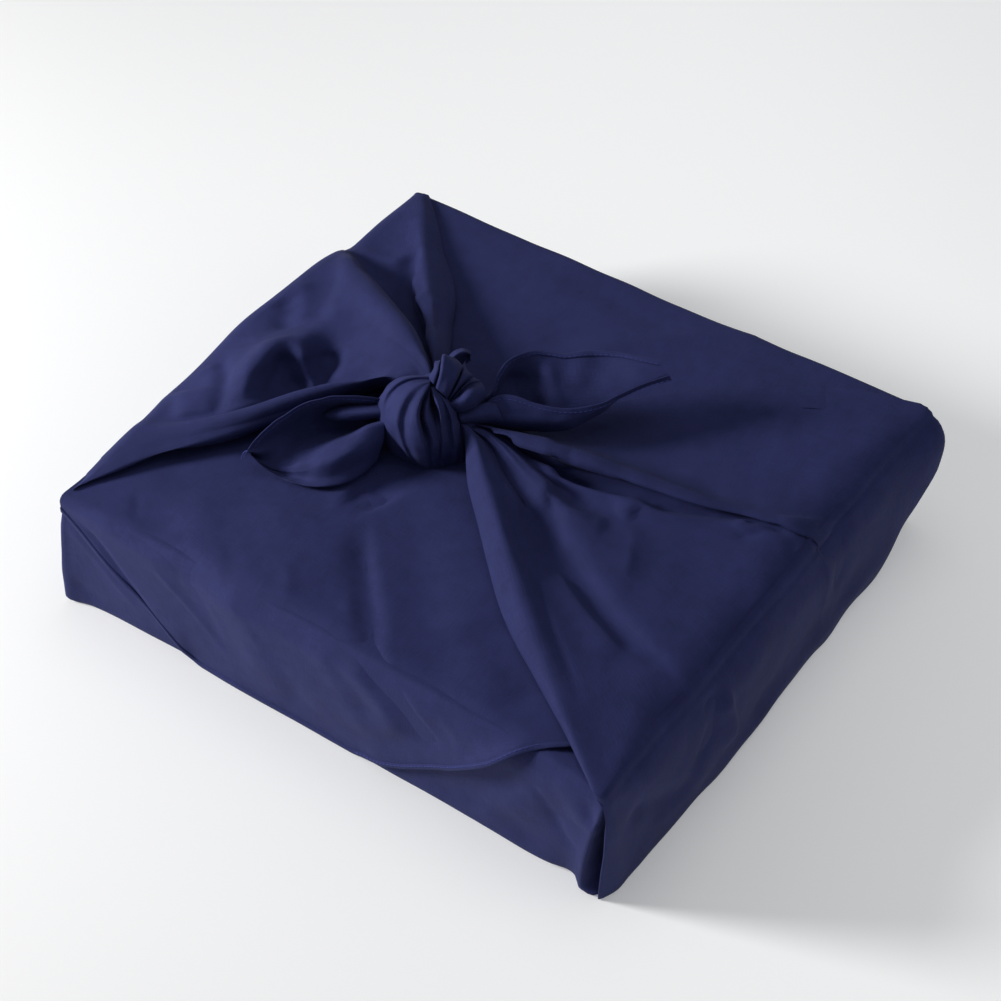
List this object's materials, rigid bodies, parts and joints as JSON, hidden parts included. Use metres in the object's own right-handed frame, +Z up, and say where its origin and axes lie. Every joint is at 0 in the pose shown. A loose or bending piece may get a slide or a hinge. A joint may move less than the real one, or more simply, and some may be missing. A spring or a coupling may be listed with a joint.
{
  "type": "furoshiki wrap tied round a flat box",
  "caption": "Square navy cotton wrapping cloth, folded round a flat box and tied on top in a square knot with two free ends.",
  "frame": {"origin": "on the surface that it rests on, under the middle of the wrapped parcel", "axes": "+X along the parcel's long side, from the left tie to the right tie, +Y to the far side, +Z up"},
  "size_m": [0.3478, 0.3096, 0.1277],
  "materials": {
    "navy_cotton": "matte plain-weave cotton broadcloth, dyed navy"
  },
  "bodies": {
    "root": {"furoshiki": "navy_cotton"}
  },
  "joints": []
}
